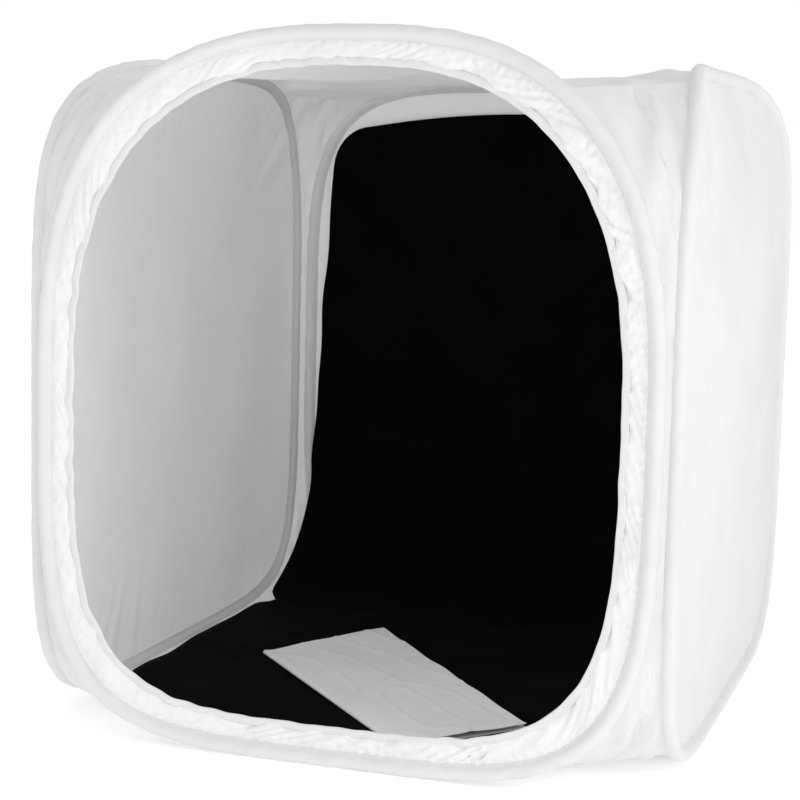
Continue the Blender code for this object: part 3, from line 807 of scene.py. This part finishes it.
def rim_loop(climb, sign, per_wall):
    """The edge of the top (sign 1) or the floor (sign -1): along each hoop, then across each corner."""
    points = []
    steps = QUARTER - climb
    for i, wall in enumerate(RING):
        after = RING[(i + 1) % 4]
        k = np.linspace(0, 2 * steps, per_wall)
        climbed = climb + k  # stations up from the -u seam
        station = 2 * QUARTER - sign * climbed
        u, z = wall.hoop.at(station)
        points.append(wall.place(u, np.full_like(u, -0.0045), z))
        start, end = corner_rows(wall, after, [sign * climb])
        cross = np.linspace(0, 1, max(6, per_wall // 3))[1:-1]
        points.append(start + cross[:, None] * (end - start))
    return np.concatenate(points)


def disc_object(name, rim, shares, height, look, seed, ripple):
    """A panel drawn in from its rim; height(share, z) gives each point's level."""
    count = len(rim)
    share = shares[:, None]
    x, y = rim[None, :, 0] * share, rim[None, :, 1] * share
    z = height(share, rim[None, :, 2])
    held = (1 - smooth(share, 0.90, 1.0))
    around = np.arctan2(y, x)
    corner = np.abs(np.sin(2 * around))
    rays = waves(seed, around * RAY_RADIUS, 0 * x, 16, (0.02, 0.06), (0.0, 0.2), RAY_PERIOD)
    broad = waves(seed + 1, x, y, 12, (0.10, 0.30))
    fine = waves(seed + 2, x, y, 26, (0.02, 0.06))
    far = smooth(share, 0.66, 0.96)
    z = z + held * ripple * (0.9 * broad + 1.1 * rays * far * (0.3 + 0.7 * corner) + 0.16 * fine)
    grid = np.stack([x, y, z], -1)
    middle = np.array([[0.0, 0.0, float(grid[-1, :, 2].mean())]])
    points = np.concatenate([grid.reshape(-1, 3), middle])
    faces = grid_faces(len(shares), count, wrap_cols=True)
    last = (len(shares) - 1) * count
    faces += [[last + k, len(points) - 1, last + (k + 1) % count] for k in range(count)]
    return mesh_object(name, points, faces, look)


def rim_area(rim):
    """Area inside a rim, seen from above."""
    x, y = rim[:, 0], rim[:, 1]
    return abs(float(np.sum(x * np.roll(y, -1) - np.roll(x, -1) * y))) / 2


def make_top():
    """The top, drawn in from its rim towards its middle."""
    rim = rim_loop(GUSSET_TOP_STATIONS, 1, 90)
    shares = np.concatenate([np.linspace(1.0, 0.80, 16), np.linspace(0.80, 0.03, 34)[1:]])

    def height(share, z):
        return TOP_CENTRE_HEIGHT + (z - TOP_CENTRE_HEIGHT) * share**2

    made = disc_object("top_cloth", rim, shares, height, FABRIC["level"], 71, 0.0016)
    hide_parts("top_panel")
    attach(made, "top")
    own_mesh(made)
    declare(WIDTH, DEPTH, rim_area(rim) * 1.01)
    return made


def make_floor():
    """The floor, flat but for its edge, which rises to the casings."""
    rim = rim_loop(GUSSET_LOW_STATIONS, -1, 90)
    shares = np.concatenate([np.linspace(1.0, 0.80, 18), np.linspace(0.80, 0.03, 20)[1:]])

    def height(share, z):
        rise = smooth(share, FLOOR_FLAT_SHARE, 1.0)
        level = FLOOR_HEIGHT + 0.0004
        return level + (z - level) * rise

    made = disc_object("floor_cloth", rim, shares, height, FABRIC["level"], 81, 0.00025)
    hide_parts("floor_panel")
    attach(made, "front")
    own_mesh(made)
    declare(WIDTH, DEPTH, rim_area(rim) * 1.02)
    return made


# ---------- Sweep, tapes and white cloth ----------


def half_at(outline, z):
    """Half the loop's width at a height below the middle of the seams."""
    low = slice(3 * (len(outline.u) - 1) // 4, None)
    return np.interp(z, outline.z[low], outline.u[low])


def sweep_limit(y, z):
    """Half the width that the lower corners leave for the sweep."""
    end = FRONT if y < 0 else BACK
    rim = RIGHT.hoop.at(LOOP - GUSSET_LOW_STATIONS)[1]
    level = min(max(z, float(rim)), SEAM_HEIGHT)
    across, along = float(half_at(end.hoop, level)), float(half_at(RIGHT.hoop, level))
    if abs(y) <= along:
        return WIDTH / 2 - CASING_REACH - SWEEP_SIDE_CLEARANCE
    share = (abs(y) - along) / (DEPTH / 2 - along)
    return WIDTH / 2 + (across - WIDTH / 2) * share - SWEEP_CORNER_CLEARANCE


def sweep_profile():
    """(y, z, sag, half width) rows from the front edge to the top."""
    front = -DEPTH / 2 + SWEEP_FRONT_MARGIN
    hang = DEPTH / 2 - SWEEP_HANG
    bend = hang - SWEEP_BEND_RADIUS
    foot = SWEEP_LEVEL + SWEEP_BEND_RADIUS
    rows = [(y, SWEEP_LEVEL, 0.0) for y in np.linspace(front, bend, 70)]
    for k in range(1, 25):
        turn = math.pi / 2 * k / 24
        rows.append((bend + SWEEP_BEND_RADIUS * math.sin(turn),
                     foot - SWEEP_BEND_RADIUS * math.cos(turn), k / 24))
    rows += [(hang, z, 1.0) for z in np.linspace(foot, SWEEP_TOP - SWEEP_TOP_CORNER, 50)[1:]]
    rows += [(hang, SWEEP_TOP - SWEEP_TOP_CORNER * (1 - math.sin(t)), 1.0)
             for t in np.linspace(0, math.pi / 2, 10)[1:]]
    full = []
    narrow = SWEEP_FLOOR_HALF_WIDTH - SWEEP_TOP_HALF_WIDTH
    for y, z, sag in rows:
        half = SWEEP_FLOOR_HALF_WIDTH - narrow * (z - SWEEP_LEVEL) / (SWEEP_TOP - SWEEP_LEVEL)
        top = SWEEP_TOP - SWEEP_TOP_CORNER
        if z > top:
            turn = math.asin(min(1.0, (z - top) / SWEEP_TOP_CORNER))
            half -= SWEEP_TOP_CORNER * (1 - math.cos(turn))
        full.append((y, z, sag, min(half, sweep_limit(y, z))))
    return np.array(full)


def make_sweep():
    """The black sweep and its length, from the front edge over the bend to its top."""
    rows = sweep_profile()
    cols = 72
    t = np.linspace(-1, 1, cols)
    y, z, sag, half = rows.T
    along = np.concatenate([[0], np.cumsum(np.hypot(np.diff(y), np.diff(z)))])
    edge = waves(41, along, 0 * along, 10, (0.05, 0.16), (0.0, 0.3)) * 0.0008
    x = (half + edge)[:, None] * t
    climb = smooth(z, SWEEP_TOP - 0.14, SWEEP_TOP)[:, None]
    zz = z[:, None] + SWEEP_CROWN * climb * (1 - (x / half[:, None]) ** 2)
    yy = y[:, None] - BACK.bow(-x, np.maximum(zz, TAPE_TOP - TAPE_HEIGHT)) * sag[:, None]
    grid = np.stack([x, yy * np.ones_like(x), zz], -1)
    lift = waves(42, x, along[:, None], 14, (0.06, 0.22))
    n = normals_of(grid)
    inwards = np.where((n[..., 1] * 0.7 - n[..., 2] * 0.7)[..., None] > 0, -n, n)
    hung = smooth(along, 0.0, 0.03) * (1 - smooth(along, along[-1] - 0.06, along[-1] - 0.03))
    grid = grid + inwards * (0.0007 * (lift + 1.2) * hung[:, None])[..., None]
    made = thick_object("black_sweep", grid, SWEEP_THICKNESS, VELVET)
    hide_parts("backdrop_sweep")
    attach(made, "back")
    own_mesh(made)
    return made, float(along[-1])


def make_tape(name, node, depth, look):
    """A strip of hook or loop tape on the back wall, at a depth from its hoop's plane."""
    x = np.linspace(-TAPE_HALF_WIDTH, TAPE_HALF_WIDTH, 120)
    z = np.linspace(TAPE_TOP - TAPE_HEIGHT, TAPE_TOP, 12)
    u, z = np.meshgrid(-x, z)
    ripple = waves(51, u, z, 12, (0.03, 0.09)) * 0.00008
    grid = BACK.place(u, -depth + ripple, z)
    made = thick_object(name, grid, 0.0011, look)
    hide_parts(node)
    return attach(made, "back")


def make_cloth():
    """The white cloth, folded once and lying on the sweep."""
    far_left, far_right = np.array(INSERT_FAR_LEFT), np.array(INSERT_FAR_RIGHT)
    near_left, near_right = np.array(INSERT_NEAR_LEFT), np.array(INSERT_NEAR_RIGHT)
    long_n, wide_n = 90, 44
    low, thick = SWEEP_LEVEL + INSERT_LIFT, INSERT_THICKNESS
    s = np.linspace(0, 1, long_n)[:, None]

    def layer(v, lift):
        left = near_left + (far_left - near_left) * s
        right = near_right + (far_right - near_right) * s
        x = left[:, :1] + (right[:, :1] - left[:, :1]) * v
        y = left[:, 1:] + (right[:, 1:] - left[:, 1:]) * v
        folds = waves(61, x, y, 12, (0.05, 0.14))
        fine = creases(waves(62, x, y, 10, (0.05, 0.12), (0.2, 1.2)), 0.22)
        bulge = 0.0006 * (folds + 1.0) + 0.0010 * fine
        return np.stack([x, y, low + lift + bulge * (lift / thick)], -1)

    v = np.linspace(0, 1, wide_n)[None]
    below = layer(v * 0.985, 0.0 * v)[:, ::-1]
    above = layer(0.004 + v * 0.972, thick + 0.0 * v)
    turn = np.linspace(0, math.pi, 9)[1:-1][None]
    radius = thick / 2
    fold = layer(0 * turn, 0 * turn)
    away = (near_left - near_right) / np.linalg.norm(near_left - near_right)
    fold[..., :2] += (away * radius)[None, None] * np.sin(turn)[..., None]
    fold[..., 2] = low + radius - radius * np.cos(turn)
    grid = np.concatenate([below, fold, above], axis=1)
    made = grid_object("white_cloth_folded", grid, COTTON, "white_cloth")
    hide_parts("white_insert_cloth")
    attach(made, "insert")
    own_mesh(made)
    return made


# ---------- Build ----------

for node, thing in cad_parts.items():
    if node.endswith("_band") or node.endswith("_ferrule"):
        look = STEEL if node.endswith("_band") else ZINC
        for material_slot in thing.material_slots:
            material_slot.material = look

side_lean = 2 * SIDE_BULGE / SIDE_HALF
back_lean = 2 * BACK_BULGE / FRONT_HALF
leans = (0.0, side_lean, back_lean, side_lean)
casings = {wall.name: make_casing(wall, lean) for wall, lean in zip(RING, leans)}
border, hem = make_border(), make_binding()
thread = [
    stitches("border_outer_stitches", *loop_row(FRONT, FRONT.hoop, -STITCH_INSET, STITCH_RISE)),
    stitches("border_inner_stitches", *loop_row(FRONT, FRONT.hoop, -STITCH_INSET, -STITCH_RISE)),
    stitches("opening_outer_stitches", *loop_row(FRONT, OPENING, HEM_STITCH_INSET, HEM_STITCH_RISE)),
    stitches("opening_inner_stitches", *loop_row(FRONT, OPENING, HEM_STITCH_INSET, -HEM_STITCH_RISE)),
]
declare(
    BORDER_WIDTH - CLOTH_INSET,
    (FRONT.hoop.length() + OPENING.length()) / 2,
    1e9,
)
for wall, bulge, seed, plane in (
    (RIGHT, SIDE_BULGE, 101, "side"),
    (LEFT, SIDE_BULGE, 111, "side"),
    (BACK, BACK_BULGE, 121, "front"),
):
    cloth = make_panel(wall, bulge, seed, plane)
    lean = 2 * bulge / wall.half
    past = STITCH_INSET - CASING_RADIUS
    rows = [
        stitches(
            f"{wall.name}_wall_{side}_stitches",
            *loop_row(wall, wall.hoop, -STITCH_INSET, sign * STITCH_RISE + lean * past),
            body=wall.name,
        )
        for side, sign in (("outer", 1), ("inner", -1))
    ]
    declare(
        2 * wall.half,
        wall.top,
        wall.hoop.area(),
    )
for index, name in enumerate(CORNERS):
    make_corner(name, 200 + 20 * index)
make_top()
make_floor()
make_tape("hook_tape_strip", "hook_tape", 0.0015, HOOK_PILE)
loop = make_tape("loop_tape_strip", "backdrop_loop_tape", 0.0028, LOOP_PILE)
sweep, sweep_length = make_sweep()
make_cloth()


# ---------- Floor, light and camera ----------


STAGE_LEVEL = -0.0011  # just under the casings' puckered underside


CAMERA_PLACE = (0.528, -1.74, 0.497)
CAMERA_YAW, CAMERA_PITCH, CAMERA_ROLL = math.radians(18.3), math.radians(7.25), math.radians(1.4)
CAMERA_LENS = 86.4  # mm, on a 36 mm sensor
WORLD_LIGHT, WORLD_SEEN = 0.80, 1.0  # strength on the tent, and behind it


def make_stage():
    """A plain pale floor for the tent to stand on."""
    look = Look("pale_floor")
    at = look.place()
    tone = look.noise(at, 3.0, 2.0)
    look.shader.inputs["Emission Color"].default_value = (1.0, 1.0, 1.0, 1.0)
    look.shader.inputs["Emission Strength"].default_value = 0.30
    look.finish(
        look.ramp(tone, [(0.2, (0.90, 0.90, 0.90)), (0.8, (0.93, 0.93, 0.93))]),
        look.range(tone, 0.85, 0.95),
        look.bump(tone, 0.0001, 0.1),
    )
    rows = []
    for y in (-6.0, -2.0, 1.0, 3.0, 9.0):
        rows.append([(x, y, STAGE_LEVEL) for x in (-8.0, -2.0, 2.0, 8.0)])
    floor = grid_object("studio_floor", np.array(rows), look.material)


def area_light(name, place, target, size, power):
    """A soft light at a place, turned to a target."""
    data = bpy.data.lights.new(name, "AREA")
    data.shape = "RECTANGLE"
    data.size, data.size_y = size
    data.energy = power
    made = bpy.data.objects.new(name, data)
    made.location = place
    aim = Vector(target) - Vector(place)
    made.rotation_euler = aim.to_track_quat("-Z", "Y").to_euler()
    bpy.context.scene.collection.objects.link(made)


def make_camera():
    """The camera, in front of the tent, to its right and a little above."""
    yaw, pitch, roll = CAMERA_YAW, CAMERA_PITCH, CAMERA_ROLL
    level = math.cos(pitch)
    ahead = Vector((-math.sin(yaw) * level, math.cos(yaw) * level, -math.sin(pitch)))
    right = Vector((math.cos(yaw), math.sin(yaw), 0))
    up = right.cross(ahead)
    across = right * math.cos(roll) + up * math.sin(roll)
    upright = up * math.cos(roll) - right * math.sin(roll)
    data = bpy.data.cameras.new("photo_camera")
    data.lens, data.sensor_width = CAMERA_LENS, 36.0
    data.clip_start, data.clip_end = 0.05, 60
    made = bpy.data.objects.new("photo_camera", data)
    axes = Matrix((across, upright, -ahead)).transposed().to_4x4()
    made.matrix_world = Matrix.Translation(CAMERA_PLACE) @ axes
    bpy.context.scene.collection.objects.link(made)
    bpy.context.scene.camera = made


def make_world():
    """White light from all round, with a slightly brighter white behind the tent."""
    world = bpy.context.scene.world or bpy.data.worlds.new("studio")
    bpy.context.scene.world = world
    world.use_nodes = True
    nodes, links = world.node_tree.nodes, world.node_tree.links
    backdrop = nodes["Background"]
    backdrop.inputs["Color"].default_value = (1.0, 1.0, 1.0, 1.0)
    ray = nodes.new("ShaderNodeLightPath")
    strength = nodes.new("ShaderNodeMapRange")
    strength.inputs["To Min"].default_value = WORLD_LIGHT
    strength.inputs["To Max"].default_value = WORLD_SEEN
    links.new(ray.outputs["Is Camera Ray"], strength.inputs["Value"])
    links.new(strength.outputs["Result"], backdrop.inputs["Strength"])


make_stage()
make_world()
area_light("front_softbox", (2.6, -1.1, 1.2), (-0.1, -0.1, 0.3), (1.0, 1.0), 17.0)
area_light("low_softbox", (0.2, -1.15, 0.04), (-0.1, 0.05, 0.56), (0.9, 0.4), 2.0)
make_camera()
bpy.context.scene.view_settings.view_transform = "Standard"
